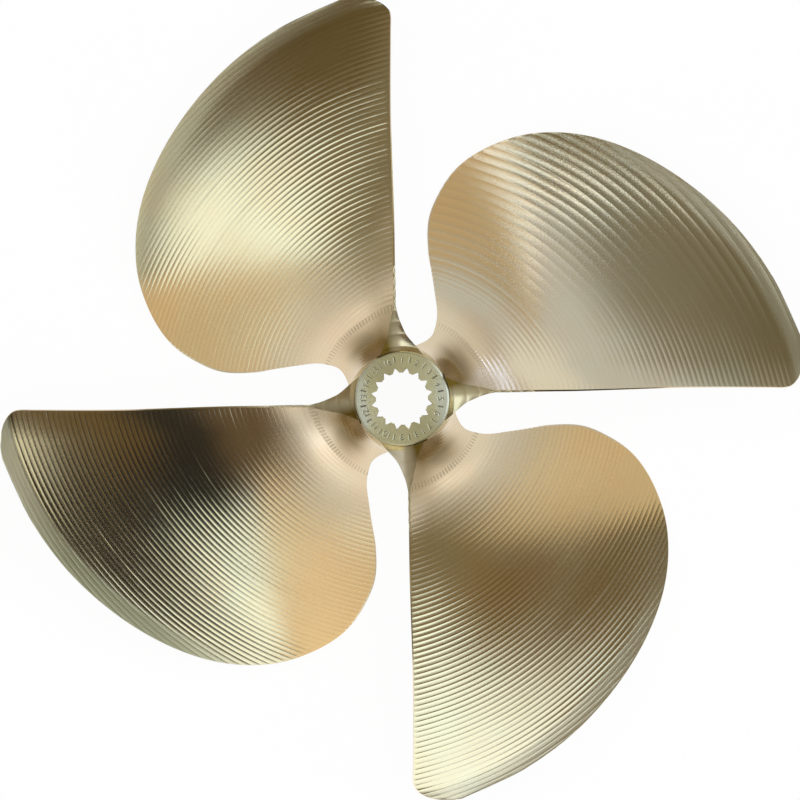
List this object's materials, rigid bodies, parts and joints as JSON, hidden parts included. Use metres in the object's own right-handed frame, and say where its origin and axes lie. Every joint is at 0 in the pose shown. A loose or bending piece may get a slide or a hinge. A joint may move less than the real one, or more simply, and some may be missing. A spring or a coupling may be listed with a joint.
{
  "type": "boat propeller",
  "caption": "Machined bronze boat propeller with broad left-hand blades, cupped trailing edges and a splined hub bore.",
  "frame": {"origin": "on the shaft axis, in the plane of the hub's forward face, which the part stands on", "axes": "+Z points aft along the shaft axis, towards the pressure faces; +X points along the first blade's trailing edge, to within 3 degrees"},
  "size_m": [0.372, 0.372, 0.0823],
  "materials": {
    "bronze": "milled nickel aluminium bronze with fine tool marks"
  },
  "bodies": {
    "root": {"hub": "bronze", "blade_1": "bronze", "blade_2": "bronze", "blade_3": "bronze", "blade_4": "bronze"}
  },
  "joints": []
}
